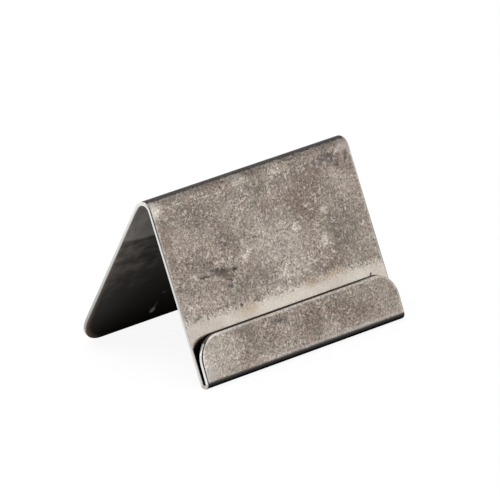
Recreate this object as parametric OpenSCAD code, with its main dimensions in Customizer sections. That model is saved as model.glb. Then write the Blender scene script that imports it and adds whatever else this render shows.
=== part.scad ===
// Place card holder: one strip of sheet steel folded into a small tent with a card lip.
// X runs across the holder, the card faces -Y and Z is up, all in millimetres.
// The origin lies on the table, under the middle of the holder.
// The strip is drawn as the lengths between its bends and the bends themselves.

/* [Sheet] */
// Width of the sheet, across the holder
sheet_w = 60; // [30:1:120]
// Thickness of the sheet
sheet_t = 0.8; // [0.5:0.1:1.5]

/* [Tent] */
// Height of the ridge above the table
ridge_h = 37; // [28:0.5:60]
// Inner radius of the bend along the ridge
ridge_inner_r = 1.7; // [0.5:0.1:4]
// Lean of the front panel from upright, in degrees
front_lean = 23.7; // [12:0.1:40]
// Lean of the rear leg from upright, in degrees
rear_lean = 27.5; // [12:0.1:45]

/* [Card slot] */
// Height of the lip's top edge above the table
lip_h = 10.5; // [7:0.1:18]
// Inner radius of the fold at the foot, which is half the slot's width at its bottom
fold_inner_r = 0.4; // [0.2:0.1:1.5]
// Angle at which the slot opens upwards, in degrees
slot_opening = 2; // [0:0.5:8]

/* [Corners] */
// Radius of the lip's two top corners
lip_corner_r = 5.8; // [1:0.1:12]
// Radius of the rear leg's two bottom corners
leg_corner_r = 7.3; // [1:0.1:20]

/* [Hidden] */
// Facets of a full circle
$fn = 96;
// How far a cut reaches past the sheet that it trims
overrun = 1;

// Outer radii of the two bends
ridge_outer_r = ridge_inner_r + sheet_t;
fold_outer_r = fold_inner_r + sheet_t;
// The lip leans less than the panel behind it, so that the slot opens upwards
lip_lean = front_lean - slot_opening;

// Directions in the side view, as [y, z]: down each sheet, and square to it on the outside
panel_down = [-sin(front_lean), -cos(front_lean)];
panel_out = [-cos(front_lean), sin(front_lean)];
leg_down = [sin(rear_lean), -cos(rear_lean)];
leg_out = [cos(rear_lean), sin(rear_lean)];
lip_up = [sin(lip_lean), cos(lip_lean)];
lip_out = [-cos(lip_lean), sin(lip_lean)];

// From the axis of the ridge to the axis of the fold, apart from the panel's own length
axes_offset = (ridge_outer_r + fold_inner_r) * panel_out;

// Heights of the two bend axes: the ridge hangs from the top, the fold stands on the table
ridge_z = ridge_h - ridge_outer_r;
fold_z = fold_outer_r;

// Straight lengths of the sheet between its bends
panel_l = (ridge_z + axes_offset[1] - fold_z) / cos(front_lean);
lip_l = (lip_h - fold_z - fold_outer_r * lip_out[1]) / lip_up[1];
leg_l = (ridge_z + ridge_inner_r * leg_out[1]) / cos(rear_lean);

// Depth on each side of the ridge axis, which centres the holder on the origin
fold_reach = -(axes_offset + panel_l * panel_down)[0];
front_reach = fold_reach + fold_outer_r;
rear_reach = (ridge_outer_r * leg_out + leg_l * leg_down)[0];
ridge_axis = [(front_reach - rear_reach) / 2, ridge_z];
fold_axis = ridge_axis + [-fold_reach, fold_z - ridge_z];

// Moves to a point [y, z] of the side view
module at_side(point) {
    translate([0, point[0], point[1]])
        children();
}

// A flat length of sheet, lying on XY with its root along X
module flat_sheet(length) {
    translate([-sheet_w / 2, 0, 0])
        cube([sheet_w, length, sheet_t]);
}

// A flat length of sheet with the two corners of its free end rounded
module round_ended_sheet(length, corner_r) {
    r = min(corner_r, length, sheet_w / 2);
    difference() {
        flat_sheet(length);
        for (side = [0, 1])
            mirror([side, 0, 0])
                translate([sheet_w / 2 - r, length - r, -overrun])
                    linear_extrude(sheet_t + 2 * overrun)
                        difference() {
                            square(r + overrun);
                            circle(r);
                        }
    }
}

// A bend in the sheet about the X axis, from one angle over a sweep, measured from +Y to +Z
module bent_sheet(inner_r, from, sweep) {
    rotate([90, 0, 90])
        rotate([0, 0, from])
            rotate_extrude(angle = sweep)
                translate([inner_r, -sheet_w / 2])
                    square([sheet_t, sheet_w]);
}

// The leg behind, which stands on its lower edge between two rounded corners
module rear_leg() {
    color("silver")
        at_side(ridge_axis + ridge_inner_r * leg_out)
            rotate([rear_lean - 90, 0, 0])
                round_ended_sheet(leg_l, leg_corner_r);
}

// The bend along the top, from the rear leg over to the front panel
module ridge_bend() {
    color("dimgray")
        at_side(ridge_axis)
            bent_sheet(ridge_inner_r, rear_lean, 180 - rear_lean - front_lean);
}

// The front panel, which the card leans against
module front_panel() {
    color("darkgray")
        at_side(ridge_axis + ridge_outer_r * panel_out)
            rotate([-90 - front_lean, 0, 0])
                flat_sheet(panel_l);
}

// The rear part of the fold at the foot, from the line on which it stands up to the front panel
module foot_fold_rear() {
    color("gray")
        at_side(fold_axis)
            bent_sheet(fold_inner_r, -90, 90 - front_lean);
}

// The front part of the fold at the foot, from the lip down to the line on which it stands
module foot_fold_front() {
    color("gray")
        at_side(fold_axis)
            bent_sheet(fold_inner_r, 180 - lip_lean, 90 + lip_lean);
}

// The lip that stands in front of the panel and holds the card in the slot between them
module card_lip() {
    color("gainsboro")
        at_side(fold_axis + fold_inner_r * lip_out)
            rotate([90 - lip_lean, 0, 0])
                round_ended_sheet(lip_l, lip_corner_r);
}

rear_leg();
ridge_bend();
front_panel();
foot_fold_rear();
foot_fold_front();
card_lip();
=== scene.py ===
# %% [markdown]
# # A place card holder, folded from one strip of steel
#
# The real holder is a single strip of thin stainless steel. It is sheared to size, tumbled among stones
# until its edges are smooth, and bent twice: over a ridge at the top, and back on itself at the foot, where
# it leaves a slot for the card. This lesson makes it in the order of the workshop: a flat blank, its
# deburred edges, the two bends, and then the finish that the stones and years of handling left on each side
# of the sheet.

import math

import bpy
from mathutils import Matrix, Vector


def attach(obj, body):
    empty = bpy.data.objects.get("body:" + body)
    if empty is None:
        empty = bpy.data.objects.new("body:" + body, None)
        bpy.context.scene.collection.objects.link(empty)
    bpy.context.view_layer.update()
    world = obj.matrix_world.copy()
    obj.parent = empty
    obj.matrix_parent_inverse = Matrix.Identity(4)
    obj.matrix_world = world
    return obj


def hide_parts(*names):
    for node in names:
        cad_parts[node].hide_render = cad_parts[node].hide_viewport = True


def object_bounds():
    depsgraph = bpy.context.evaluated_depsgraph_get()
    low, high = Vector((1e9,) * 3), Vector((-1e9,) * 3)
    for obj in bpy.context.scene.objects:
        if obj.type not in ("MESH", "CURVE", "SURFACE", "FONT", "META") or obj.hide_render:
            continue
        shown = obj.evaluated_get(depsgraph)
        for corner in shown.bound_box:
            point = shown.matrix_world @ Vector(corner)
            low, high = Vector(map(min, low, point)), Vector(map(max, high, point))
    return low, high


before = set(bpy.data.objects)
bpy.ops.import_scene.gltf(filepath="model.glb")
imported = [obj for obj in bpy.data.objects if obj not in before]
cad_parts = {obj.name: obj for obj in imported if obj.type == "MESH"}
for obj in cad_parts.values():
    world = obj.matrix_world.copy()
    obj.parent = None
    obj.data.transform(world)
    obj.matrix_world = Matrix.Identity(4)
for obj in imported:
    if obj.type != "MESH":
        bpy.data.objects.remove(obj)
cad_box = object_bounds()
print("solids in the frame:", sorted(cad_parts))

# %% [markdown]
# ## The sizes
#
# The drawing of a bent part gives the height of its bends, their inner radii and the lean of each flat. The
# flat lengths follow from these, as they do in the solids. Everything is in metres, and the side view is in
# Y and Z, with the reader of the card on the -Y side.

# %% Sizes of the sheet and its bends
MM = 0.001

sheet_w = 60 * MM
sheet_t = 0.8 * MM
ridge_h = 37 * MM
ridge_inner_r = 1.7 * MM
front_lean = math.radians(23.7)
rear_lean = math.radians(27.5)
lip_h = 10.5 * MM
fold_inner_r = 0.4 * MM
slot_opening = math.radians(2)
lip_corner_r = 5.8 * MM
leg_corner_r = 7.3 * MM

lip_lean = front_lean - slot_opening
fold_outer_r = fold_inner_r + sheet_t
ridge_outer_r = ridge_inner_r + sheet_t
fold_mid_r = fold_inner_r + sheet_t / 2
ridge_mid_r = ridge_inner_r + sheet_t / 2
fold_turn = math.pi - slot_opening
ridge_turn = math.pi - front_lean - rear_lean

# %% [markdown]
# The ridge's bend hangs from the top of the holder and the fold's bend stands on the table, so the panel
# has to span the two. Laid end to end, the flats and the middle lines of the bends give the length of the
# blank.

# %% Flat lengths, and where each stretch starts along the blank
ridge_z = ridge_h - ridge_outer_r
rise = ridge_z - fold_outer_r + (ridge_outer_r + fold_inner_r) * math.sin(front_lean)
panel_l = rise / math.cos(front_lean)
lip_l = (lip_h - fold_outer_r - fold_outer_r * math.sin(lip_lean)) / math.cos(lip_lean)
leg_l = (ridge_z + ridge_inner_r * math.sin(rear_lean)) / math.cos(rear_lean)

fold_start = lip_l
panel_start = fold_start + fold_mid_r * fold_turn
ridge_start = panel_start + panel_l
leg_start = ridge_start + ridge_mid_r * ridge_turn
blank_l = leg_start + leg_l
flats = [round(length / MM, 2) for length in (lip_l, panel_l, leg_l)]
print(f"blank {blank_l / MM:.2f} mm long, with flats of", flats, "mm")

# %% [markdown]
# ## The blank
#
# The strip starts flat, with two rounded corners at each end. A face filled in one go would bend badly,
# because a bend needs rows of vertices across it. So the blank is a grid whose rows are close together
# where the sheet will bend and beside the round corners, and far apart on the flats. A row near an end is
# shorter, which rounds the corners.

# %% Rows along the blank
# Radius to which the stones wore the sheared edges
edge_r = 0.12 * MM
# Width of the ring of faces inside the worn edge, which keeps the shading of the flats clean up to it
hold = 0.04 * MM
inset = edge_r + hold

FLAT_STEP = 1.5 * MM
BEND_ROWS = 28
CORNER_ROWS = 16


def spread(start, end, count):
    """Evenly spaced places from start towards end, without end itself."""
    return [start + (end - start) * i / count for i in range(count)]


def flat_rows(start, end):
    """Rows on a flat, with one close to each end, so that a bend's shading doesn't run into it."""
    return [start, *spread(start + hold, end - hold, round((end - start) / FLAT_STEP)), end - hold]


def corner_rows(free_end, arc, inward):
    """Rows from a free end over its round corners, at even turns of the arc."""
    return [free_end + inward * arc * (1 - math.cos(turn)) for turn in spread(0, math.pi / 2, CORNER_ROWS)]


lip_arc = lip_corner_r - inset
leg_arc = leg_corner_r - inset
rows = corner_rows(inset, lip_arc, 1)
rows += flat_rows(inset + lip_arc, fold_start)
rows += spread(fold_start, panel_start, BEND_ROWS)
rows += flat_rows(panel_start, ridge_start)
rows += spread(ridge_start, leg_start, BEND_ROWS)
rows += flat_rows(leg_start, blank_l - inset - leg_arc)
rows += corner_rows(blank_l - inset, leg_arc, -1)[::-1]
print(len(rows), "rows along the blank")

# %% [markdown]
# The worn edge is built with the blank. A bevel afterwards would work too, but its width would wander where
# the grid's rows meet the round corners at a slant. Here each point on the border knows which way is out of
# the sheet, and the edge is a stack of rings that step out, over and back in.

# %% The border of the grid, and the rings over the edge
COLUMNS = 34
EDGE_STEPS = 6


def border(y):
    """Half the grid's width at y, and the direction that points out of the sheet on its +X side."""
    widest = sheet_w / 2 - inset
    for arc, gap, end in ((lip_arc, y - inset, -1), (leg_arc, blank_l - inset - y, 1)):
        if gap < arc:
            turn = math.acos(min(1.0, (arc - gap) / arc))
            return widest - arc * (1 - math.sin(turn)), Vector((math.sin(turn), end * math.cos(turn), 0))
    return widest, Vector((1, 0, 0))


def edge_rings():
    """How far out and how high each ring is, from the upper side of the sheet round to the lower side."""
    turns = [math.pi / 2 * i / EDGE_STEPS for i in range(EDGE_STEPS + 1)]
    upper = [(hold + edge_r * math.sin(a), sheet_t / 2 - edge_r * (1 - math.cos(a))) for a in turns]
    return upper + [(out, -height) for out, height in reversed(upper)]


print(len(edge_rings()), "rings over the edge")

# %% [markdown]
# The mesh is two grids, one for each side of the sheet, joined by the rings. Each face also gets the number
# of its finish: 0 for the sides that the stones could reach, 1 for the inside of the tent, 2 for the cut
# edge. The upper side of the blank becomes the face of the panel, the lower side becomes the face of the
# lip.

# %% Points and finishes of the blank
WORN, SHELTERED, CUT = range(3)
# A face lies on a side of the sheet when its middle is at least this close to it
SIDE_GAP = edge_r / 100


def lay_grid(points, height):
    """Adds one side of the sheet to the points, and returns their numbers by row and column."""
    grid = []
    for y in rows:
        half, _ = border(y)
        first = len(points)
        points += [Vector((half * (2 * j / COLUMNS - 1), y, height)) for j in range(COLUMNS + 1)]
        grid.append(range(first, len(points)))
    return grid


def walk_border():
    """Row, column and outward direction of each point once round the border, from the lip's corner at -X."""
    last = len(rows) - 1
    yield from ((0, j, Vector((0, -1, 0))) for j in range(COLUMNS))
    yield from ((i, COLUMNS, border(rows[i])[1]) for i in range(last))
    yield from ((last, j, Vector((0, 1, 0))) for j in range(COLUMNS, 0, -1))
    yield from ((i, 0, border(rows[i])[1] * Vector((-1, 1, 0))) for i in range(last, 0, -1))


def finish_of(face, points):
    """The finish that the stones left on a face of the blank."""
    middle = sum((points[i] for i in face), Vector()) / len(face)
    if abs(middle.z) < sheet_t / 2 - SIDE_GAP:
        return CUT
    return SHELTERED if middle.z < 0 and middle.y > panel_start else WORN


print("the border has", len(list(walk_border())), "points")

# %% [markdown]
# The grids and the rings share the points where they meet, so the mesh is closed, and the corners of each
# face are given in the order that turns it outwards.

# %% Build the blank
def build_blank():
    """The closed mesh of the blank: its points, its faces and their finishes."""
    points = []
    upper, lower = (lay_grid(points, height) for height in (sheet_t / 2, -sheet_t / 2))
    faces = []
    for i in range(len(rows) - 1):
        for j in range(COLUMNS):
            faces.append((upper[i][j], upper[i][j + 1], upper[i + 1][j + 1], upper[i + 1][j]))
            faces.append((lower[i][j], lower[i + 1][j], lower[i + 1][j + 1], lower[i][j + 1]))
    walk = list(walk_border())
    rings = [[upper[i][j] for i, j, _ in walk]]
    for out, height in edge_rings():
        first = len(points)
        for i, j, outward in walk:
            point = points[upper[i][j]] + outward * out
            points.append(Vector((point.x, point.y, height)))
        rings.append(range(first, len(points)))
    rings.append([lower[i][j] for i, j, _ in walk])
    for above, below in zip(rings, rings[1:]):
        for a in range(len(walk)):
            b = (a + 1) % len(walk)
            faces.append((above[a], below[a], below[b], above[b]))
    return points, faces, [finish_of(face, points) for face in faces]


points, faces, finishes = build_blank()
blank = bpy.data.meshes.new("folded_sheet")
blank.from_pydata(points, [], faces)
blank.attributes.new("finish", "INT", "FACE").data.foreach_set("value", finishes)
blank.shade_smooth()
print("blank:", len(points), "points,", len(faces), "faces,", finishes.count(CUT), "of them on the cut edge")
assert not blank.validate(verbose=True)

# %% [markdown]
# ## Helpers for node trees
#
# The folding and the finishes are both node trees, so a few helpers keep them short: one adds a node with
# its settings and wires, three do arithmetic and combine vectors in the tree that their values come from,
# and one starts a group with named inputs and outputs.

# %% Helpers for node trees
SOCKETS = {float: "NodeSocketFloat", tuple: "NodeSocketVector", type(None): "NodeSocketGeometry"}


def plug(value, socket):
    """Wires another socket into this one, or sets a constant on it."""
    if isinstance(value, bpy.types.NodeSocket):
        socket.id_data.links.new(value, socket)
    else:
        socket.default_value = value


def add(tree, kind, wires=None, **settings):
    """Adds a node, sets its settings, and wires or fills the inputs named or numbered in wires."""
    node = tree.nodes.new(kind)
    for name, value in settings.items():
        setattr(node, name, value)
    for key, value in (wires or {}).items():
        plug(value, node.inputs[key])
    return node


def tree_of(*values):
    """The node tree that the sockets among some values belong to."""
    return next(value.id_data for value in values if isinstance(value, bpy.types.NodeSocket))


def calc(operation, *values, clamp=False):
    """The result of one step of arithmetic."""
    wires = dict(enumerate(values))
    return add(tree_of(*values), "ShaderNodeMath", wires, operation=operation, use_clamp=clamp).outputs[0]


def vector_calc(operation, *values, out="Vector"):
    """The result of one step of arithmetic on vectors."""
    wires = dict(enumerate(values))
    return add(tree_of(*values), "ShaderNodeVectorMath", wires, operation=operation).outputs[out]


def combine(x, y, z=0.0):
    """A vector from its three parts."""
    return add(tree_of(x, y, z), "ShaderNodeCombineXYZ", {"X": x, "Y": y, "Z": z}).outputs[0]


def start_group(kind, name, inputs, outputs):
    """A node group with named inputs, given with their defaults, and outputs, given with their kinds."""
    tree = bpy.data.node_groups.new(name, kind)
    for label, default in inputs.items():
        socket = tree.interface.new_socket(label, in_out="INPUT", socket_type=SOCKETS[type(default)])
        if default is not None:
            socket.default_value = default
    for label, sort in outputs.items():
        tree.interface.new_socket(label, in_out="OUTPUT", socket_type=SOCKETS[sort])
    return tree, add(tree, "NodeGroupInput").outputs, add(tree, "NodeGroupOutput").inputs


# %% [markdown]
# ## Bending
#
# A press brake makes one bend at a time, and so does this group. What lies before the bend line stays where
# it is. What lies within the bend is wound round an axis above the sheet, or below it where the radius and
# the turn are negative. What lies beyond turns with the end of the bend, however it is already bent, so the
# groups can be chained from the far end of the strip to the near one.

# %% One bend of the press brake
bend, given, result = start_group(
    "GeometryNodeTree",
    "bend",
    {"Geometry": None, "Bend line": 0.0, "Radius": 1.0, "Turn": 1.0},
    {"Geometry": type(None)},
)
place = add(bend, "ShaderNodeSeparateXYZ", {0: add(bend, "GeometryNodeInputPosition").outputs[0]}).outputs
arc = calc("MULTIPLY", given["Radius"], given["Turn"])
past = calc("SUBTRACT", place["Y"], given["Bend line"])
turned = calc("MULTIPLY", calc("DIVIDE", past, arc, clamp=True), given["Turn"])
before = calc("MINIMUM", place["Y"], given["Bend line"])
beyond = calc("MAXIMUM", calc("SUBTRACT", past, arc), 0.0)
from_axis = calc("SUBTRACT", given["Radius"], place["Z"])
sine, cosine = calc("SINE", turned), calc("COSINE", turned)
wound = calc("MULTIPLY_ADD", from_axis, sine, before)
along = calc("ADD", wound, calc("MULTIPLY", beyond, cosine))
dropped = calc("SUBTRACT", given["Radius"], calc("MULTIPLY", from_axis, cosine))
height = calc("MULTIPLY_ADD", beyond, sine, dropped)
bent_to = combine(place["X"], along, height)
bent = add(bend, "GeometryNodeSetPosition", {"Geometry": given["Geometry"], "Position": bent_to})
bend.links.new(bent.outputs[0], result["Geometry"])
print("bend group:", len(bend.nodes), "nodes")

# %% [markdown]
# Before the first bend, every point notes where it is on the flat blank. The finishes are laid out on that
# attribute, as if the strip were still flat: they run over a bend without stretching, and round an edge
# without a seam.

# %% The tree that folds the blank
fold_up, given, result = start_group(
    "GeometryNodeTree",
    "fold the blank",
    {
        "Geometry": None,
        "Ridge line": 0.0, "Ridge radius": 1.0, "Ridge turn": 1.0,
        "Foot line": 0.0, "Foot radius": 1.0, "Foot turn": 1.0,
        "Foot axis when flat": (0.0, 0.0, 0.0), "Foot axis": (0.0, 0.0, 0.0), "Stand up": 0.0,
    },
    {"Geometry": type(None)},
)
position = add(fold_up, "GeometryNodeInputPosition").outputs[0]
stage_out = add(
    fold_up, "GeometryNodeStoreNamedAttribute",
    {"Geometry": given["Geometry"], "Name": "flat", "Value": position},
    data_type="FLOAT_VECTOR", domain="POINT",
).outputs[0]
for name in ("Ridge", "Foot"):
    wires = {"Geometry": stage_out, "Bend line": given[f"{name} line"]}
    wires |= {"Radius": given[f"{name} radius"], "Turn": given[f"{name} turn"]}
    stage_out = add(fold_up, "GeometryNodeGroup", wires, node_tree=bend).outputs[0]
stood = add(
    fold_up, "ShaderNodeVectorRotate",
    {"Vector": position, "Center": given["Foot axis when flat"], "Angle": given["Stand up"]},
    rotation_type="X_AXIS",
).outputs[0]
shift = vector_calc("SUBTRACT", given["Foot axis"], given["Foot axis when flat"])
stage_out = add(
    fold_up, "GeometryNodeSetPosition", {"Geometry": stage_out, "Position": stood, "Offset": shift}
).outputs[0]
stage_out = add(fold_up, "GeometryNodeRealizeInstances", {"Geometry": stage_out}).outputs[0]
print("folding tree:", len(fold_up.nodes), "nodes")

# %% [markdown]
# The numbers that the faces carry choose their material: worn face, sheltered face or cut edge. The three
# materials are still plain here, and get their surfaces further below.

# %% Give each finish its material
materials = [bpy.data.materials.new(name) for name in ("worn_face", "sheltered_face", "cut_edge")]
worn_face, sheltered_face, cut_edge = materials
blank.materials.append(worn_face)
number = add(fold_up, "GeometryNodeInputNamedAttribute", {"Name": "finish"}, data_type="INT")
for finish, material in enumerate(materials):
    chosen = add(fold_up, "FunctionNodeCompare", data_type="INT", operation="EQUAL")
    a, b = [socket for socket in chosen.inputs if socket.enabled]
    fold_up.links.new(number.outputs["Attribute"], a)
    b.default_value = finish
    wires = {"Geometry": stage_out, "Selection": chosen.outputs[0], "Material": material}
    stage_out = add(fold_up, "GeometryNodeSetMaterial", wires).outputs[0]
fold_up.links.new(stage_out, result["Geometry"])
print("folding tree with its materials:", len(fold_up.nodes), "nodes")

# %% [markdown]
# The foot's axis gets its place from the holder's depth, which is centred on the origin as in the solids.
# The lip leaves that axis upwards, so the flat strip turns by a right angle and the lip's lean to stand up.
# The two boxes printed at the end should agree.

# %% Fold it
fold_reach = (ridge_outer_r + fold_inner_r) * math.cos(front_lean) + panel_l * math.sin(front_lean)
rear_reach = ridge_outer_r * math.cos(rear_lean) + leg_l * math.sin(rear_lean)
ridge_y = (fold_reach + fold_outer_r - rear_reach) / 2
foot_axis = Vector((0, ridge_y - fold_reach, fold_outer_r))

folded_sheet = bpy.data.objects.new("folded_sheet", blank)
bpy.context.collection.objects.link(folded_sheet)
modifier = folded_sheet.modifiers.new("fold", "NODES")
modifier.node_group = fold_up
sizes = {
    "Ridge line": ridge_start, "Ridge radius": -ridge_mid_r, "Ridge turn": -ridge_turn,
    "Foot line": fold_start, "Foot radius": fold_mid_r, "Foot turn": fold_turn,
    "Foot axis when flat": (0, fold_start, fold_mid_r), "Foot axis": foot_axis,
    "Stand up": -math.pi / 2 - lip_lean,
}
for socket in fold_up.interface.items_tree:
    if socket.name in sizes:
        modifier[socket.identifier] = sizes[socket.name]

depsgraph = bpy.context.evaluated_depsgraph_get()
folded = bpy.data.meshes.new_from_object(folded_sheet.evaluated_get(depsgraph), depsgraph=depsgraph)
folded_sheet.modifiers.clear()
folded_sheet.data = folded
folded.name = "folded_sheet"
box = [[side(v.co[k] for v in folded.vertices) for k in range(3)] for side in (min, max)]
for name, corners in (("folded sheet", box), ("solids", cad_box)):
    print(name, "in mm:", [[round(value / MM, 3) for value in corner] for corner in corners])
print("materials on the mesh:", [m.name for m in folded.materials])

# %% [markdown]
# ## The finish of the steel, as shared effects
#
# Three surfaces wear the same kinds of marks, so each kind is a node group. They all read the place on the
# flat blank, in metres, and put out masks; each surface then chooses how strongly a mask colours it.

# %% Helpers for patterns
def noise(place, size, detail=2.0, roughness=0.55, distortion=0.0, aside=None):
    """A cloudy value about 0.5, with clouds as wide as size. Moved aside, it doesn't repeat another noise."""
    place = vector_calc("ADD", place, aside) if aside else place
    frequency = calc("DIVIDE", 1.0, size) if isinstance(size, bpy.types.NodeSocket) else 1 / size
    wires = {"Vector": place, "Scale": frequency}
    wires |= {"Detail": detail, "Roughness": roughness, "Distortion": distortion}
    return add(tree_of(place), "ShaderNodeTexNoise", wires, normalize=True).outputs[0]


def ramp(value, low, high, to_low=0.0, to_high=1.0, kind="SMOOTHSTEP"):
    """The value eased from to_low at low to to_high at high, and held beyond them."""
    wires = {"Value": value, "From Min": low, "From Max": high, "To Min": to_low, "To Max": to_high}
    return add(tree_of(value), "ShaderNodeMapRange", wires, interpolation_type=kind).outputs["Result"]


def frayed(distance, by, amount):
    """A distance pushed to and fro by a noise, which frays what ends there."""
    return calc("MULTIPLY_ADD", by, amount, distance)


def follow(value, low, high, spread=0.2):
    """A factor from low to high that follows a noise, whose values lie within spread of 0.5."""
    return ramp(value, 0.5 - spread, 0.5 + spread, low, high, kind="LINEAR")


def chain(operation, first, *others):
    """One kind of arithmetic taken through any number of values."""
    for value in others:
        first = calc(operation, first, value)
    return first


def times(*factors):
    """The product of masks and factors."""
    return chain("MULTIPLY", *factors)


def uncovered(mask):
    """What a mask leaves free."""
    return calc("SUBTRACT", 1.0, mask)


# %% [markdown]
# The first effect is the grain that tumbling leaves: a fine uneven tone, short bright strokes where stones
# struck, and pits. The strokes are the crests of a swirling noise, the pits the middles of a few cells of a
# Voronoi pattern.

# %% Grain
GRAIN_SIZE = 0.42 * MM
grain, given, result = start_group(
    "ShaderNodeTree", "tumbled grain",
    {"Place": (0.0, 0.0, 0.0), "Grain": GRAIN_SIZE, "Stroke share": 0.5, "Pit share": 0.3},
    {"Tone": float, "Strokes": float, "Pits": float, "Height": float},
)
tone = noise(given["Place"], given["Grain"], detail=1.6, roughness=0.6, distortion=0.9)
wide = calc("MULTIPLY", given["Grain"], 2.2)
swirl = noise(given["Place"], wide, detail=1.0, distortion=1.8, aside=(0.2, 0.1, 0.3))
crest = uncovered(calc("ABSOLUTE", calc("MULTIPLY_ADD", swirl, 2.0, -1.0)))
patches = noise(given["Place"], wide, detail=3.0, aside=(0.5, 0.4, 0.1))
limit = ramp(given["Stroke share"], 0.0, 1.0, 0.75, 0.35, kind="LINEAR")
struck = ramp(patches, limit, calc("ADD", limit, 0.12))
strokes = times(ramp(crest, 0.76, 0.94), struck)
cells = add(
    grain, "ShaderNodeTexVoronoi",
    {"Vector": given["Place"], "Scale": calc("DIVIDE", 0.45, given["Grain"])},
    feature="F1",
)
chance = add(grain, "ShaderNodeSeparateColor", {0: cells.outputs["Color"]}).outputs[0]
pit_size = ramp(chance, uncovered(given["Pit share"]), 1.0, 0.0, 0.42)
pits = ramp(cells.outputs["Distance"], times(pit_size, 0.4), pit_size, 1.0, 0.0)
pits = times(pits, ramp(pit_size, 0.0, 0.08))
relief = calc("SUBTRACT", calc("MULTIPLY_ADD", strokes, 0.6, tone), pits)
for label, socket in (("Tone", tone), ("Strokes", strokes), ("Pits", pits), ("Height", relief)):
    grain.links.new(socket, result[label])
print("grain group:", len(grain.nodes), "nodes")

# %% [markdown]
# A stain, a smear or a patch of tone sits in one place. The group measures how far a point is from its
# middle, in the stain's own turned and stretched measure, and frays the border with a noise that all the
# stains share.

# %% Stain
stain, given, result = start_group(
    "ShaderNodeTree", "stain",
    {
        "Place": (0.0, 0.0, 0.0), "Middle": (0.0, 0.0, 0.0), "Half length": MM, "Half width": MM,
        "Turn": 0.0, "Fray": 0.0, "Softness": 0.5,
    },
    {"Mask": float},
)
from_middle = vector_calc("SUBTRACT", given["Place"], given["Middle"])
cosine, sine = calc("COSINE", given["Turn"]), calc("SINE", given["Turn"])
lengthways = combine(cosine, sine)
sideways = combine(times(sine, -1.0), cosine)
shares = []
for direction, half in ((lengthways, "Half length"), (sideways, "Half width")):
    offset = vector_calc("DOT_PRODUCT", from_middle, direction, out="Value")
    shares.append(calc("DIVIDE", offset, given[half]))
squares = calc("MULTIPLY_ADD", shares[0], shares[0], times(shares[1], shares[1]))
distance = calc("ADD", calc("SQRT", squares), given["Fray"])
full_within = uncovered(given["Softness"])
none_beyond = calc("ADD", 1.0, given["Softness"])
stain.links.new(ramp(distance, full_within, none_beyond, 1.0, 0.0), result["Mask"])
print("stain group:", len(stain.nodes), "nodes")

# %% [markdown]
# The stones wear the sheet most along its border. The blank is a rectangle with round corners, larger at
# the leg's end, so the distance from its border has an exact rule: shrink the rectangle by the corner's
# radius, measure from that, and give the radius back.

# %% Distance from the border of the sheet
rim, given, result = start_group(
    "ShaderNodeTree", "distance from the border", {"Place": (0.0, 0.0, 0.0)}, {"Distance": float}
)
parts = add(rim, "ShaderNodeSeparateXYZ", {0: given["Place"]}).outputs
radius = ramp(parts[1], fold_start, panel_start, lip_corner_r, leg_corner_r, kind="LINEAR")
from_centre = calc("SUBTRACT", parts[1], blank_l / 2)
from_side = calc("SUBTRACT", calc("ABSOLUTE", parts[0]), sheet_w / 2)
from_end = calc("SUBTRACT", calc("ABSOLUTE", from_centre), blank_l / 2)
side_in, end_in = calc("ADD", from_side, radius), calc("ADD", from_end, radius)
side_out, end_out = calc("MAXIMUM", side_in, 0.0), calc("MAXIMUM", end_in, 0.0)
squares = calc("MULTIPLY_ADD", side_out, side_out, times(end_out, end_out))
inner = calc("MINIMUM", calc("MAXIMUM", side_in, end_in), 0.0)
outside = calc("SUBTRACT", calc("ADD", calc("SQRT", squares), inner), radius)
rim.links.new(times(outside, -1.0), result["Distance"])
print("border group:", len(rim.nodes), "nodes")

# %% [markdown]
# ## Laying effects into a material
#
# Each material starts from the place on the flat blank, and lays one effect over the other, as a painter
# lays glazes. Dark films and dirt aren't metal, so their masks also take the metal away.

# %% Helpers for the surfaces
def group(node_group, **wires):
    """The outputs of a shared effect placed in a material."""
    wires = {key.replace("_", " "): value for key, value in wires.items()}
    return add(tree_of(*wires.values()), "ShaderNodeGroup", wires, node_tree=node_group).outputs


def lay(factor, below, above):
    """One colour laid over another as far as the factor says."""
    node = add(tree_of(factor, below, above), "ShaderNodeMix", data_type="RGBA")
    for socket, value in zip([s for s in node.inputs if s.enabled], (factor, below, above)):
        plug((*value, 1.0) if isinstance(value, tuple) else value, socket)
    return next(s for s in node.outputs if s.enabled)


def shade(colour, factor):
    """A colour made lighter or darker by a factor."""
    return vector_calc("MULTIPLY", colour, combine(factor, factor, factor))


def begin(material):
    """The shader of a material, and the place on the flat blank as a vector and as its three parts."""
    material.use_nodes = True
    tree = material.node_tree
    flat = add(tree, "ShaderNodeAttribute", attribute_type="GEOMETRY", attribute_name="flat")
    place = flat.outputs["Vector"]
    return tree.nodes["Principled BSDF"], place, *add(tree, "ShaderNodeSeparateXYZ", {0: place}).outputs


def wire_up(shader, colour, metal, roughness, bump):
    """Wires a surface to its shader. Bump is the relief, its strength and its depth in metres."""
    relief = add(shader.id_data, "ShaderNodeBump", dict(zip(("Height", "Strength", "Distance"), bump)))
    wires = {"Base Color": colour, "Metallic": metal, "Roughness": roughness, "Normal": relief.outputs[0]}
    wires["Specular IOR Level"] = 0.0
    for name, value in wires.items():
        plug(value, shader.inputs[name])
    print("surface wired up with", len(shader.id_data.nodes), "nodes")


# %% [markdown]
# The stains of a surface are kept in tables, so that a mark can be found and moved by its name. A row
# gives, in millimetres, its place across and along the blank and half its length and width, then how
# strongly it covers, and its colour. The turn in degrees, the fraying and the softness follow where they
# aren't 0, 0.4 and 0.6.

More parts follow.
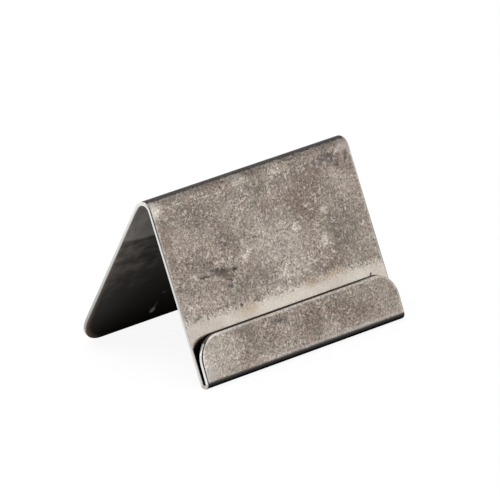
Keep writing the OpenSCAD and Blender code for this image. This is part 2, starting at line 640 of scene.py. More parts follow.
# %% Helpers for tables of stains
def mark(place, fray, x, y, half_l, half_w, depth, turn=0, fraying=0.4, softness=0.6):
    """How strongly one stain covers a point."""
    mask = group(
        stain, Place=place, Middle=(x * MM, y * MM, 0), Half_length=half_l * MM, Half_width=half_w * MM,
        Turn=math.radians(turn), Softness=softness, Fray=times(fray, fraying),
    )["Mask"]
    return times(mask, depth)


def lay_stains(place, colour, stains, fray):
    """The colour with each stain of a table laid over it in the stain's own colour."""
    for x, y, half_l, half_w, depth, dye, *border in stains.values():
        colour = lay(mark(place, fray, x, y, half_l, half_w, depth, *border), colour, dye)
    print(len(stains), "stains laid:", next(iter(stains)), "and so on")
    return colour


def lay_alike(place, colour, stains, fray, dye):
    """The colour with all stains of a table laid over it at once, in one colour."""
    strongest = 0.0
    for shape in stains.values():
        strongest = calc("MAXIMUM", mark(place, fray, *shape), strongest)
    print(len(stains), "stains laid in one colour:", next(iter(stains)), "and so on")
    return lay(strongest, colour, dye)


# %% [markdown]
# ## The worn face
#
# The stones reached the panel, the ridge, the outside of the leg and the front of the lip. There the steel
# is a mottled warm grey. Broad patches of tone come first: brown and grey clouds everywhere, and the
# patches that the photograph shows on the panel and the lip in their places.

# %% Patches of tone
WAVER_SIZE = 2.2 * MM
HUE_SIZE = 5 * MM
CLOUD_SIZE = 6 * MM
MOTTLE_SIZE = 1.8 * MM

shader, place, across, along, through = begin(worn_face)
panel_side = ramp(through, -0.1 * MM, 0.1 * MM, kind="LINEAR")
lip_side = uncovered(panel_side)
# A noise about zero, which frays the borders of masks
waver = calc("MULTIPLY_ADD", noise(place, WAVER_SIZE, 5.0, 0.68), 4.0, -2.0)
hue = ramp(noise(place, HUE_SIZE, detail=2.0, aside=(0.3, 0.3, 0.7)), 0.35, 0.65)
clouds = noise(place, CLOUD_SIZE, detail=3.0, roughness=0.5, aside=(0.7, 0.2, 0.5))

WARM_GREYS = (0.307, 0.251, 0.214), (0.315, 0.274, 0.232)
CLOUD_DEPTH = 0.6
LIGHT = (0.5, 0.445, 0.395)
PINK = (0.45, 0.375, 0.33)
DARK = (0.145, 0.125, 0.108)
BROWN = (0.165, 0.118, 0.095)
GREEN_GREY = (0.165, 0.15, 0.125)
PATCHES = {
    # on the panel, apart from those named lip
    "light middle": (3.5, 34.8, 8, 5.5, 0.42, LIGHT, -20, 0.3),
    "light spot below": (2, 28.8, 2, 1.2, 0.5, LIGHT, 25, 0.4, 0.5),
    "light spot above": (-6.9, 45.3, 1.8, 2.4, 0.3, LIGHT, 0, 0.4, 0.5),
    "light spot inside": (-7.6, 35, 2.2, 1.2, 0.35, LIGHT, 35, 0.4, 0.5),
    "pink on the left": (-24, 40.3, 4.5, 2.6, 0.4, PINK),
    "pink at the right corner": (23.5, 44.8, 1.8, 1.3, 0.6, PINK, 0, 0.4, 0.5),
    "pink on the right": (15.3, 32.2, 2, 1.8, 0.45, PINK, 0, 0.4, 0.5),
    "pink below left": (-23, 27.8, 4.5, 2, 0.35, PINK),
    "dark above the smear": (-20.5, 35.1, 4, 1.8, 0.45, DARK, -20),
    "dark top left": (-19, 45.8, 5, 3, 0.38, DARK),
    "dark stripe": (-11.5, 40.3, 1.8, 4.5, 0.35, DARK, 15),
    "dark under the ridge": (0, 47.3, 8, 1.6, 0.42, GREEN_GREY),
    "brown on the right": (13, 41.8, 6.5, 5.5, 0.5, BROWN, 30),
    "green on the right": (22, 33.6, 4.6, 5.2, 0.48, GREEN_GREY),
    "green below the middle": (-5.5, 29.2, 5, 2.2, 0.42, GREEN_GREY),
    "brown below": (15, 27.1, 4.5, 1.5, 0.42, BROWN, 0, 0.5),
    "brown in the right corner": (27, 45.8, 2.4, 2.8, 0.4, BROWN, 0, 0.5),
    "light below the middle": (2, 27.4, 5, 2.2, 0.42, LIGHT, 10, 0.5),
    "light lower left corner": (-27.5, 28.3, 2.5, 3, 0.3, LIGHT),
    "dark below the ridge on the right": (15, 47.4, 7, 1.5, 0.3, BROWN, 0, 0.5),
    "pale corner at the ridge": (-29, 49.4, 1.8, 1.8, 0.75, (0.72, 0.66, 0.6), 0, 0.5),
    "lip, light left end": (-25.5, 4.8, 5, 4.8, 0.7, LIGHT, 0, 0.3),
    "lip, brown left": (-12.5, 5.6, 4.5, 2.2, 0.35, BROWN),
    "lip, brown middle": (2.6, 4.8, 3.6, 2.4, 0.58, BROWN),
    "lip, brown right": (10.6, 4.3, 5, 2.6, 0.5, BROWN, 10),
    "lip, darkest brown": (17.5, 6.2, 2.4, 1.9, 0.5, BROWN),
    "lip, pale lower left corner": (-28.6, 8.8, 2.2, 1.6, 0.7, LIGHT, 25),
    "lip, pale left border": (-29, 6.4, 1.4, 3.6, 0.75, (0.62, 0.57, 0.52)),
    "lip, pink along the foot": (-16, 8.8, 12, 0.9, 0.32, PINK, 0, 0.5),
    # A painted highlight where the foot's fold begins
    "lip, painted highlight along the foot": (14, 9.2, 14, 0.5, 0.12, LIGHT, 0, 0.5),
}
colour = lay(hue, *WARM_GREYS)
colour = lay(ramp(clouds, 0.5, 0.25, 0.0, CLOUD_DEPTH), colour, DARK)
colour = lay(ramp(clouds, 0.5, 0.75, 0.0, CLOUD_DEPTH), colour, LIGHT)
colour = lay_stains(place, colour, PATCHES, waver)
colour = shade(colour, calc("MULTIPLY_ADD", panel_side, 0.04, 0.96))
mottle = noise(place, MOTTLE_SIZE, detail=2.0, aside=(0.8, 0.1, 0.3))
colour = shade(colour, follow(mottle, 0.91, 1.11))

# %% [markdown]
# Then come the marks that stand out: a brown smear on the left of the panel, made of a few strokes, and
# bruises near its corner and on the lip.

# %% Dark marks
MARKS = {
    "smear, left stroke": (-20.7, 32.9, 1.4, 0.26, 0.85, (0.065, 0.053, 0.044), -4, 0.35),
    "smear, upper stroke": (-16.4, 33.4, 2.3, 0.46, 0.88, (0.06, 0.053, 0.046), -12),
    "smear, right end": (-12.1, 32.6, 0.8, 0.45, 0.9, (0.05, 0.042, 0.035), -12),
    "smear, brown middle": (-15.2, 32.2, 2.5, 0.85, 0.9, (0.105, 0.08, 0.063), -20, 0.5, 0.7),
    "smear, brown lower border": (-13.9, 30.8, 1.4, 0.22, 0.7, (0.085, 0.06, 0.05), -9, 0.25),
    "smear, light line": (-17.4, 31.5, 2.5, 0.18, 0.75, (0.5, 0.41, 0.34), -17, 0.25),
    "smear, lower end": (-14.4, 29.5, 0.8, 0.5, 0.7, (0.075, 0.065, 0.062), -15),
    "smear, light streak below": (-13.2, 29.7, 1, 0.28, 0.6, (0.4, 0.38, 0.365), 62, 0.3),
    "brown above the smear": (-18, 35.2, 1.5, 0.9, 0.55, (0.17, 0.135, 0.105), 10, 0.5, 0.7),
    "scratch above the smear": (-15.4, 35.1, 1.3, 0.3, 0.7, (0.56, 0.48, 0.41), -3),
    "bruise by the ridge": (22, 48.4, 2.7, 1.3, 0.55, (0.1, 0.09, 0.09), -12, 0.8, 0.5),
    "bruise, its dark side": (24.3, 47.8, 1.6, 0.6, 0.58, (0.08, 0.067, 0.06), -66, 0.9, 0.7),
    "bruise, its foot": (24.6, 46.5, 0.9, 0.35, 0.55, (0.08, 0.067, 0.06), -15, 0.8, 0.7),
    "bruise on the lip": (-5.8, 2, 2.2, 0.9, 0.6, (0.085, 0.078, 0.065), 5),
}
colour = lay_stains(place, colour, MARKS, waver)

# %% [markdown]
# Light flecks and scratches are bare metal, all of one colour, so the strongest of them at each point gives
# one mask for the whole table. The long streaks under the ridge are partly scratches from the bend, where
# the sheet slid over the tool, and partly a painted highlight along it.

# %% Light marks
BARE_METAL_AND_HIGHLIGHT = (0.77, 0.72, 0.66)
LIGHT_MARKS = {
    "scratch inside, lower": (-8.3, 34.6, 0.9, 0.22, 0.8, -4, 0.25, 0.5),
    "scratch inside, upper": (-6.9, 35.3, 0.7, 0.24, 0.8, 42, 0.25, 0.5),
    "fleck below the middle": (2.3, 29.3, 0.5, 0.35, 0.6, 70, 0.4, 0.5),
    "fleck beside it": (1.4, 28.2, 0.7, 0.4, 0.5, 20, 0.5, 0.5),
    "fleck above the band": (-1.2, 25.7, 0.6, 0.4, 0.6, 15, 0.5, 0.5),
    "fleck above the smear": (-18, 37.3, 0.9, 0.2, 0.5, 50, 0.4, 0.5),
    "fleck in the middle": (8, 36.7, 0.9, 0.7, 0.5, 0, 0.7),
    "fleck on the right": (17.3, 38.2, 0.9, 0.7, 0.4, 10, 1),
    "stroke on the right": (23.7, 37.3, 0.7, 0.17, 0.48, 70, 0.3, 0.5),
    "fleck by the right edge": (27.4, 32.9, 0.8, 0.35, 0.33, 25),
    "fleck below right": (15.4, 32.3, 1.1, 0.8, 0.4, 60, 1),
    # Streaks under the ridge: partly scratches, partly a painted highlight
    "ridge streak, left": (-23, 49.4, 3.2, 0.13, 0.35, 0, 0.3, 0.5),
    "ridge streak, second": (-14, 49, 4, 0.11, 0.35, -2, 0.3, 0.5),
    "ridge streak, third": (-3, 49.3, 4, 0.12, 0.35, 1, 0.3, 0.5),
    "ridge streak, fourth": (8, 49.1, 3.4, 0.12, 0.35, -4, 0.3, 0.5),
    "ridge streak, right": (15.2, 48.7, 1.6, 0.15, 0.35, 6, 0.3, 0.5),
    "streak in the corner, upper": (26.6, 50, 1.6, 0.13, 0.45, 24, 0.3, 0.5),
    "streak in the corner, lower": (26, 49.4, 1.3, 0.12, 0.45, 32, 0.3, 0.5),
}
colour = lay_alike(place, colour, LIGHT_MARKS, waver, BARE_METAL_AND_HIGHLIGHT)

# %% [markdown]
# The grain of small blows lies over all of these. It is livelier in some places than in others, and calmer
# at the lip's left end and towards the right side. A power of its tone keeps light and dark grains in
# balance. The smear has a thin film over its grain, since it came after the tumbling.

# %% Grain over the marks
GRAIN_CONTRAST = 27.0
STROKE_COLOUR, STROKE_DEPTH = (0.7, 0.64, 0.58), 0.72
PIT_COLOUR, PIT_DEPTH = (0.1, 0.085, 0.075), 0.6

tumbled = group(grain, Place=place, Grain=GRAIN_SIZE, Stroke_share=0.56, Pit_share=0.2)
blows = noise(place, 4 * MM, detail=2.0, aside=(0.4, 0.9, 0.2))
calm_end = ramp(across, -30 * MM, -14 * MM, 0.68, 1.0)
liveliness = times(
    follow(blows, 0.66, 1.22),
    calc("MAXIMUM", calm_end, panel_side),
    ramp(across, 10 * MM, 28 * MM, 1.0, 0.8),
)
grained = times(calc("SUBTRACT", tumbled["Tone"], 0.5), liveliness)
colour = shade(colour, calc("POWER", GRAIN_CONTRAST, grained))
colour = lay(times(tumbled["Strokes"], liveliness, STROKE_DEPTH), colour, STROKE_COLOUR)
colour = lay(times(tumbled["Pits"], PIT_DEPTH), colour, PIT_COLOUR)
SMEAR_FILM = {
    "film on the smear": (-16.2, 32.8, 2.3, 0.62, 0.55, (0.145, 0.122, 0.103), -14, 0.35),
    "film below it": (-14.4, 31.7, 1.5, 0.6, 0.4, (0.2, 0.16, 0.13), -14, 0.35),
}
colour = lay_stains(place, colour, SMEAR_FILM, waver)
print("grain laid, at a contrast of", GRAIN_CONTRAST)

# %% [markdown]
# Close to the slot the stones couldn't reach the panel. It kept the smooth pale skin of rolled sheet in a
# band above the lip, with a border frayed by the grain, a few rust stains and a pit.

# %% The smooth band above the slot
# How far above the lip the band is whole, and where it ends
BAND_WHOLE = 2.1 * MM
BAND_END = 4.5 * MM
BAND_SKIN = (0.49, 0.437, 0.382), (0.572, 0.52, 0.462)

mouth = panel_start + lip_l
by_grain = calc("SUBTRACT", 0.5, tumbled["Tone"])
band_top = chain(
    "ADD",
    frayed(frayed(along, by_grain, 5 * MM), waver, 0.55 * MM),
    ramp(across, -30 * MM, -18 * MM, -0.2 * MM, 0.0),
    ramp(across, 14 * MM, 27 * MM, 0.0, 0.5 * MM),
)
in_band = times(ramp(band_top, mouth + BAND_WHOLE, mouth + BAND_END, 1.0, 0.0), panel_side)
band_colour = lay(ramp(clouds, 0.35, 0.65), *BAND_SKIN)
band_colour = shade(band_colour, follow(tumbled["Tone"], 0.88, 1.12, spread=0.25))
colour = lay(in_band, colour, band_colour)
BAND_MARKS = {
    "rust, left": (-11.2, 23.8, 2.6, 1, 0.55, (0.42, 0.315, 0.21), 4, 0.9, 0.9),
    "rust, middle": (8.4, 24.3, 1.6, 0.8, 0.65, (0.3, 0.2, 0.13), 0, 1, 0.9),
    "rust, right": (15, 24.9, 3.8, 0.5, 0.5, (0.44, 0.31, 0.21), 3, 0.6, 0.8),
    "pits, far left": (-26, 25.2, 1.4, 0.4, 0.6, (0.12, 0.1, 0.085), 10, 0.9, 0.5),
    "pit, left": (-13, 24.95, 0.42, 0.36, 0.85, (0.06, 0.05, 0.042), 0, 0.1, 0.4),
    "pits, middle": (-7.8, 25.1, 1.2, 0.6, 0.6, (0.1, 0.08, 0.065), 0, 1.2, 0.5),
    "pit in the band": (25.2, 22, 0.42, 0.22, 0.95, (0.035, 0.03, 0.025), 30, 0.05, 0.4),
}
colour = lay_stains(place, colour, BAND_MARKS, waver)
print("the band runs up to", round((lip_l + BAND_END) / MM, 1), "mm above the fold")

# %% [markdown]
# The rim of the sheet is paler, most of all on the left. On the lip it ends in a fine bright line, a painted
# highlight, and on the panel's right side in a fine bright line too. Beside the lip's left edge runs a fine
# dark line, a painted reflection, and a fine dark line runs low on the panel's right side.

# %% Rim and the fine lines beside it
from_border = group(rim, Place=place)["Distance"]
faintly = follow(tumbled["Tone"], 0.72, 1.28, spread=0.25)
in_rim = times(
    ramp(frayed(from_border, waver, 0.3 * MM), 0.2 * MM, 0.85 * MM, 0.65, 0.0),
    ramp(across, 18 * MM, 29 * MM, 1.0, 0.1),
    ramp(along, panel_start - MM, panel_start + MM, 0.7, 1.0),
)
colour = lay(in_rim, colour, shade((0.5, 0.45, 0.4), faintly))


def lay_line(colour, distance, whole, gone, depth, dye, *masks):
    """The colour with a line laid beside the border, between two distances in millimetres."""
    line = times(ramp(distance, whole * MM, gone * MM, depth, 0.0), *masks)
    return lay(line, colour, dye)


# A bright line along the lip, a painted highlight, and a dark line beside its left edge, a painted reflection
shaky = frayed(from_border, waver, 0.12 * MM)
fading = ramp(across, -28 * MM, -18 * MM, 0.85, 0.22)
bright = shade((0.86, 0.8, 0.74), faintly)
colour = lay_line(colour, shaky, 0.56, 0.7, 1.0, bright, lip_side, fading)
on_left = ramp(across, -28 * MM, -25.5 * MM, 1.0, 0.0)
colour = lay_line(colour, from_border, 0.3, 0.44, 0.95, (0.04, 0.032, 0.027), lip_side, on_left)
# A bright line on the panel's right side, and a dark line low on it
on_right = ramp(across, 0.0, MM)
bright = shade((0.62, 0.58, 0.54), faintly)
colour = lay_line(colour, shaky, 0.35, 0.7, 0.5, bright, panel_side, on_right)
low = ramp(along, 30 * MM, 38 * MM, 1.0, 0.0)
colour = lay_line(colour, from_border, 0.22, 0.37, 0.7, (0.1, 0.09, 0.08), low, panel_side, on_right)
print("rim and four lines laid")

# %% [markdown]
# A few marks lie over the rim, most of them at its corners, where the wear is strongest.

# %% Marks over the rim
RIM_MARKS = {
    "bright corner at the ridge": (-29.4, 49.4, 1, 1.5, 0.6, (0.76, 0.7, 0.64), 0, 0.5, 0.7),
    "brown beside the left rim": (-28, 42.3, 0.7, 5, 0.35, (0.26, 0.18, 0.135), 0, 0.7, 0.7),
    "bright corner at the ridge, right": (28.4, 50.2, 1.4, 1, 0.5, (0.58, 0.52, 0.47), 0, 0.8, 0.8),
    "bruise in the corner": (28, 47.7, 1.1, 0.5, 0.65, (0.085, 0.067, 0.057), 55, 0.8, 0.7),
    "worn corner of the lip": (-28.2, 8.2, 1.7, 1.3, 0.8, (0.5, 0.455, 0.41), -35),
    # A painted highlight where the foot's fold begins
    "painted highlight at the foot": (12, 9.2, 26, 0.34, 0.4, (0.56, 0.52, 0.48)),
}
colour = lay_stains(place, colour, RIM_MARKS, waver)

# %% [markdown]
# Dirt and painted shadow of the slot fill what the lip covers. The lip lies over the panel like a folded
# page, so mirroring a point of the panel about the fold finds the place that covers it, and the lip's own
# border bounds them. They are dusty there, black further in, and creep out a little above the lip at both
# corners.

# %% Dirt and painted shadow in the slot
# Dust and painted shadow at the left and at the right end of the slot
DUST_AND_SHADOW = (0.036, 0.024, 0.016), (0.145, 0.105, 0.074)
DIRT_AND_SHADOW = (0.004, 0.003, 0.0025)

mirrored = calc("SUBTRACT", fold_start + panel_start, along)
# How deep a point lies in the slot's dirt and painted shadow, reaching past the lip at the corners
slot_shadow_depth = chain(
    "ADD",
    group(rim, Place=combine(across, mirrored))["Distance"],
    ramp(across, -30 * MM, -26.2 * MM, 1.2 * MM, 0.19 * MM, kind="LINEAR"),
    ramp(across, 24 * MM, 28 * MM, 0.0, 0.45 * MM, kind="LINEAR"),
)
under_lip = ramp(slot_shadow_depth, 0.0, 0.16 * MM)
inside_fold = ramp(along, panel_start, panel_start + MM, 1.0, 0.0)
slot_dirt_and_shadow = times(calc("MAXIMUM", under_lip, inside_fold), panel_side)
dust_and_shadow = lay(ramp(across, 2 * MM, 27 * MM), *DUST_AND_SHADOW)
colour = lay(slot_dirt_and_shadow, colour, lay(ramp(slot_shadow_depth, 0.0, 0.55 * MM), dust_and_shadow, DIRT_AND_SHADOW))
# The part above the lip is painted shadow of the slot
print("the dirt reaches", round(lip_l / MM, 1), "mm up the panel, and a little above the lip")

# %% [markdown]
# Both bends are painted dark. At the ridge it is a painted reflection of the dim room, grey and mottled;
# under the foot it is painted shade and reflection of the table, and turns black towards it.

# %% Painted dark reflection and shade on the bends
RIDGE_PAINTED_REFLECTION = (0.062, 0.05, 0.046), (0.05, 0.051, 0.051)
FOOT_PAINTED_SHADE = (0.09, 0.09, 0.09), (0.001, 0.001, 0.001)
# How far up the ridge's bend the painted dark reflection begins
RIDGE_DARK_START = 1.36 * MM

ridge_dark_edge = frayed(frayed(along, by_grain, 0.7 * MM), waver, 0.12 * MM)
# The ridge's dark strip is a painted reflection of the dim room
ridge_dark = times(
    ramp(ridge_dark_edge, ridge_start + RIDGE_DARK_START, ridge_start + 1.9 * MM),
    ramp(along, leg_start - 0.5 * MM, leg_start + MM, 0.9, 0.0),
)
ridge_painted_reflection = shade(lay(hue, *RIDGE_PAINTED_REFLECTION), follow(tumbled["Tone"], 0.3, 1.7, spread=0.25))
colour = lay(ridge_dark, colour, ridge_painted_reflection)

# Under the foot: painted shade and reflection of the table, black towards it
foot_dark = times(ramp(along, fold_start - 0.28 * MM, fold_start + 0.21 * MM), lip_side)
foot_depth = ramp(along, fold_start - 0.25 * MM, fold_start + 0.75 * MM)
colour = lay(foot_dark, colour, lay(foot_depth, *FOOT_PAINTED_SHADE))
print("the ridge is dark from", round(100 * RIDGE_DARK_START / (leg_start - ridge_start)), "percent of its bend on")

# %% [markdown]
# Last come the gloss and the relief. Struck metal scatters the light, the band is smooth enough to mirror
# the lip in front of it, and the dirt and painted shadow of the slot and the painted shade under the foot are
# dull.

# %% Wire up the worn face
dull = calc("MAXIMUM", slot_dirt_and_shadow, foot_dark)
rough = calc("MULTIPLY_ADD", in_band, -0.26, ramp(tumbled["Tone"], 0.3, 0.7, 0.52, 0.4))
rough = calc("MAXIMUM", rough, times(dull, 0.7))
smooth = times(calc("MAXIMUM", in_band, in_rim), 0.85)
wire_up(
    shader, colour, metal=uncovered(dull), roughness=rough,
    bump=(tumbled["Height"], uncovered(smooth), 0.012 * MM),
)

# %% [markdown]
# ## The sheltered face
#
# The inside of the tent kept the smooth skin of rolled sheet, under a brown-black film that is partly real
# and partly painted shade. Near the ridge a lighter zone, a painted reflection, reaches down to a wavy border
# that slants. Painted shade makes it darker towards the leg's lower edge, and the deeper one looks into the
# tent.

# %% Film, painted shade and painted reflection inside the tent
# Colours of the film, partly painted shade, of the painted reflection near the ridge, and of the painted
# shade low on the leg
FILM_AND_SHADE = (0.06, 0.052, 0.046), (0.128, 0.112, 0.098)
PAINTED_SHEEN = (0.1, 0.089, 0.081), (0.14, 0.129, 0.118)
PAINTED_LOW_SHADE = (0.045, 0.041, 0.037)

shader, place, across, along, _ = begin(sheltered_face)
waver = calc("MULTIPLY_ADD", noise(place, 4 * MM, 4.0, 0.6), 4.0, -2.0)
film = noise(place, 5 * MM, detail=4.0, roughness=0.6, aside=(0.1, 0.6, 0.4))
film = ramp(film, 0.35, 0.65)
stretched = vector_calc("MULTIPLY", place, (0.2, 1.0, 1.0))
rubbed = noise(stretched, 1.3 * MM, detail=4.0, roughness=0.6, distortion=1.2)
sunk = ramp(across, -30 * MM, -20 * MM, 0.5 * MM, 1.4 * MM, kind="LINEAR")
# The lighter zone near the ridge is a painted reflection, with a wavy border
sheen_border = calc("SUBTRACT", frayed(along, waver, 0.6 * MM), sunk)
painted_sheen_zone = ramp(sheen_border, leg_start + 9.8 * MM, leg_start + 8.9 * MM)
shaky = frayed(along, waver, 2 * MM)
# Painted shade, whole low on the leg
painted_low_shade = ramp(shaky, leg_start + 12 * MM, leg_start + 31 * MM)
colour = shade(lay(film, *FILM_AND_SHADE), follow(rubbed, 0.62, 1.38))
colour = lay(painted_sheen_zone, colour, lay(film, *PAINTED_SHEEN))
from_side = calc("SUBTRACT", sheet_w / 2, calc("ABSOLUTE", across))
# Painted shade, darker the deeper one looks into the tent
painted_deep_shade = calc("POWER", 0.1, calc("DIVIDE", from_side, 34 * MM))
colour = shade(colour, times(painted_deep_shade, 1.25))
colour = lay(painted_low_shade, colour, PAINTED_LOW_SHADE)
# Painted shade towards the leg's lower edge, by the table
colour = shade(colour, ramp(along, blank_l - 9 * MM, blank_l, 1.0, 0.38, kind="LINEAR"))
# The thick film in this print is the painted shade low on the leg
print("the thick film is whole", round((leg_l - 31 * MM) / MM, 1), "mm above the leg's lower edge")

# %% [markdown]
# Something once scratched the film through near the leg's lower edge, and the leg's side border is rubbed
# brown. The rubbing, the painted shade low on the leg and the lighter zone near the ridge decide how metallic
# the surface is.

# %% Scratches, brown border and gloss inside the tent
SCRATCHES = {
    "scratch, its tail": (-8.6, 89.9, 1.2, 0.3, 0.6, (0.24, 0.23, 0.21), -69, 0.25, 0.5),
    "scratch, its drop": (-8.9, 90.9, 0.75, 0.7, 0.85, (0.6, 0.585, 0.545), 0, 0.25, 0.5),
    "chip above it": (-7.4, 86.1, 0.8, 0.35, 0.7, (0.15, 0.155, 0.155), 10, 0.4, 0.5),
    "hairline by the ridge": (-27.5, 61.3, 1, 0.12, 0.7, (0.03, 0.028, 0.026), 80, 0.2, 0.5),
}
colour = lay_stains(place, colour, SCRATCHES, waver)
brown_rim = times(
    ramp(group(rim, Place=place)["Distance"], 0.3 * MM, 1.6 * MM, 0.6, 0.0),
    ramp(along, leg_start, blank_l),
    ramp(from_side, 3 * MM, 9 * MM, 1.0, 0.0),
)
colour = lay(brown_rim, colour, (0.19, 0.145, 0.115))
bare = times(ramp(rubbed, 0.3, 0.7, 0.12, 0.36), uncovered(painted_low_shade))
wire_up(
    shader, colour, metal=calc("MAXIMUM", bare, times(painted_sheen_zone, 0.8)),
    roughness=ramp(rubbed, 0.3, 0.7, 0.5, 0.42), bump=(rubbed, 0.4, 0.004 * MM),
)

# %% [markdown]
# ## The cut edge
#
# The stones polished the sheared edges until they were bare and bright, with a few nicks. Towards the leg's
# foot they are darker, and on the leg painted shade darkens them towards the inside of the tent.

# %% Bare steel of the cut edge
POLISHED = (0.78, 0.765, 0.74), (0.92, 0.915, 0.9)

shader, place, across, along, through = begin(cut_edge)
nicks = group(grain, Place=place, Grain=0.25 * MM, Stroke_share=0.4, Pit_share=0.35)
colour = lay(ramp(nicks["Tone"], 0.3, 0.7), *POLISHED)
colour = lay(times(nicks["Pits"], 0.22), colour, (0.4, 0.38, 0.36))
colour = shade(colour, ramp(along, ridge_start, blank_l, 1.0, 0.42, kind="LINEAR"))
on_leg = ramp(along, leg_start - 2 * MM, leg_start + 2 * MM)
# Painted shade on the leg's edge, towards the inside of the tent
painted_inner_shade = times(ramp(through, -0.1 * MM, -0.42 * MM), on_leg)
colour = lay(painted_inner_shade, colour, (0.14, 0.13, 0.12))

# %% [markdown]
# On the reader's side of the sheet a thin dark line runs along the edge, fainter low on the panel: it is a
# painted reflection of the dim room in the edge's rounding. The lip's top edge looks up at the panel: it is
# tarnished brown, partly real tarnish and partly a painted reflection of the dark slot. The edge round the
# fold is a darker grey.

# %% Painted dark reflection and tarnish on the cut edge
EDGE_DARK_REFLECTION = (0.035, 0.027, 0.023)
TARNISH_AND_REFLECTION = (0.04, 0.028, 0.021)

middle_of_fold = (fold_start + panel_start) / 2
reader_side = ramp(along, middle_of_fold - 0.1 * MM, middle_of_fold + 0.1 * MM, -1.0, 1.0)
on_lip = ramp(reader_side, 0.0, 0.1, 1.0, 0.0)
towards_reader = times(calc("ADD", through, 0.09 * MM), reader_side)
# The thin dark line along the edge, a painted reflection
painted_edge_reflection = times(
    ramp(towards_reader, 0.2 * MM, 0.28 * MM),
    ramp(across, -2 * MM, 2 * MM, 0.95, 0.3),
    ramp(along, ridge_start, ridge_start + 3 * MM, 1.0, 0.0),
    calc("MAXIMUM", on_lip, ramp(along, 22 * MM, 46 * MM, 0.15, 1.0, kind="LINEAR")),
)
dulled = calc("MAXIMUM", on_lip, ramp(along, 24 * MM, 42 * MM, 0.84, 1.0, kind="LINEAR"))
colour = lay(painted_edge_reflection, shade(colour, dulled), EDGE_DARK_REFLECTION)
# The lip's top edge: tarnish and a painted reflection of the dark slot
tarnish_and_reflection = times(
    ramp(along, lip_corner_r - 4.5 * MM, lip_corner_r - 4.1 * MM, 0.95, 0.0),
    ramp(across, 18 * MM, 29.5 * MM, 1.0, 0.3),
)
colour = lay(tarnish_and_reflection, colour, TARNISH_AND_REFLECTION)
round_fold = times(
    ramp(along, fold_start, fold_start + 0.5 * MM),
    ramp(along, panel_start - 0.5 * MM, panel_start, 0.6, 0.0),
)
colour = lay(round_fold, colour, (0.3, 0.27, 0.24))
wire_up(
    shader, colour, metal=uncovered(calc("MAXIMUM", tarnish_and_reflection, painted_edge_reflection)),
    roughness=ramp(nicks["Tone"], 0.3, 0.7, 0.34, 0.22), bump=(nicks["Height"], 0.6, 0.01 * MM),
)

# %% [markdown]
# ## The studio
#
# A pale floor fills the photograph's frame, and the steel takes most of its look from what it mirrors: the
# panel mirrors a large softbox at the front on the right, the ridge the dim room behind it, and the cut
# edges the pale floor. Camera and mirrors see the floor as nearly white; the small rest of plain shading
# keeps a faint shadow.

# %% Floor
FLOOR_HALF = 4.0
FLOOR_TONE = 0.92
SEEN_WHITE = 0.92

floor_mesh = bpy.data.meshes.new("floor")
corners = [(x * FLOOR_HALF, y * FLOOR_HALF, 0) for x, y in ((-1, -1), (1, -1), (1, 1), (-1, 1))]
floor_mesh.from_pydata(corners, [], [(0, 1, 2, 3)])
floor = bpy.data.objects.new("floor", floor_mesh)
bpy.context.collection.objects.link(floor)
pale_floor = bpy.data.materials.new("pale_floor")
pale_floor.use_nodes = True
tree = pale_floor.node_tree
shader = tree.nodes["Principled BSDF"]
shader.inputs["Base Color"].default_value = (FLOOR_TONE, FLOOR_TONE, FLOOR_TONE, 1)
shader.inputs["Roughness"].default_value = 0.9
shader.inputs["Specular IOR Level"].default_value = 0.0
rays = add(tree, "ShaderNodeLightPath").outputs
seen = chain("MAXIMUM", *(rays[f"Is {kind} Ray"] for kind in ("Camera", "Glossy", "Transmission")))
white = add(tree, "ShaderNodeEmission", {"Color": (1, 1, 1, 1), "Strength": 1.0}).outputs[0]
mix = {0: times(seen, SEEN_WHITE), 1: shader.outputs[0], 2: white}
floor_mix = add(tree, "ShaderNodeMixShader", mix).outputs[0]
tree.links.new(floor_mix, tree.nodes["Material Output"].inputs["Surface"])
floor_mesh.materials.append(pale_floor)
print("floor:", 2 * FLOOR_HALF, "m square")

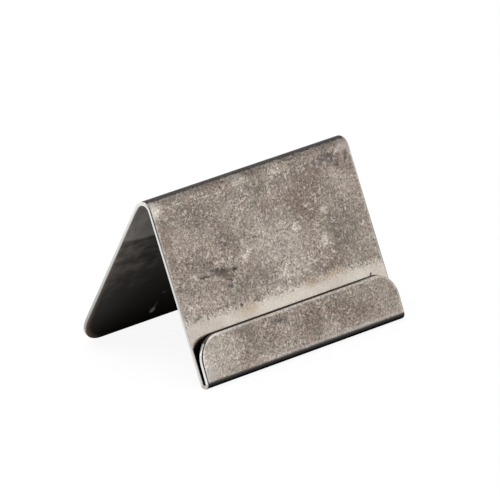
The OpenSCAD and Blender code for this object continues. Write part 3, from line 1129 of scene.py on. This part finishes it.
# %% [markdown]
# The softbox overhead gives most of the light, the one at the front on the right is what the panel mirrors,
# and a weak one behind brightens the leg's outer side. The room is an even grey.

# %% Lamps and room
ROOM_TONE = 0.5
SOFTBOXES = {
    # direction from the holder, distance, side of the square, watts
    "front_softbox": ((0.68, -0.69, 0.3), 1.6, 1.4, 4.2),
    "overhead_softbox": ((-0.2, 0.3, 1), 2, 2, 38),
    "back_softbox": ((-0.33, 0.89, 0.28), 1.6, 0.9, 3),
}
for name, (direction, distance, size, power) in SOFTBOXES.items():
    lamp = bpy.data.lights.new(name, "AREA")
    lamp.size = size
    lamp.energy = power
    softbox = bpy.data.objects.new(name, lamp)
    bpy.context.collection.objects.link(softbox)
    softbox.location = Vector(direction).normalized() * distance
    softbox.rotation_euler = Vector(direction).to_track_quat("Z", "Y").to_euler()

room = bpy.data.worlds.new("room")
room.use_nodes = True
room.node_tree.nodes["Background"].inputs["Color"].default_value = (ROOM_TONE, ROOM_TONE, ROOM_TONE, 1)
bpy.context.scene.world = room
bpy.context.scene.view_settings.view_transform = "Standard"
print(len(SOFTBOXES), "softboxes")

# %% [markdown]
# ## The camera
#
# The photograph was taken from far away with a long lens, from the front on the left and a little above.
# The numbers come from a fit of the holder's corners and edges to the photograph.

# %% Camera
view_azimuth = math.radians(45.902)
view_elevation = math.radians(19.734)
view_distance = 1.67795
aim = Vector((0.7242, -2.1220, 18.8865)) * MM
# The focal length as a share of the picture's width
focal_share = 15.852168

view_back = Vector((
    -math.sin(view_azimuth) * math.cos(view_elevation),
    -math.cos(view_azimuth) * math.cos(view_elevation),
    math.sin(view_elevation),
))
camera = bpy.data.objects.new("camera", bpy.data.cameras.new("camera"))
bpy.context.collection.objects.link(camera)
camera.location = aim + view_back * view_distance
camera.rotation_euler = view_back.to_track_quat("Z", "Y").to_euler()
camera.data.lens = focal_share * camera.data.sensor_width
bpy.context.scene.camera = camera
print(f"lens {camera.data.lens:.1f} mm")

# %% [markdown]
# ## Hand the piece to the frame
#
# One piece stands for all six solids, since they are one sheet.

# %% Frame
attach(folded_sheet, "root")
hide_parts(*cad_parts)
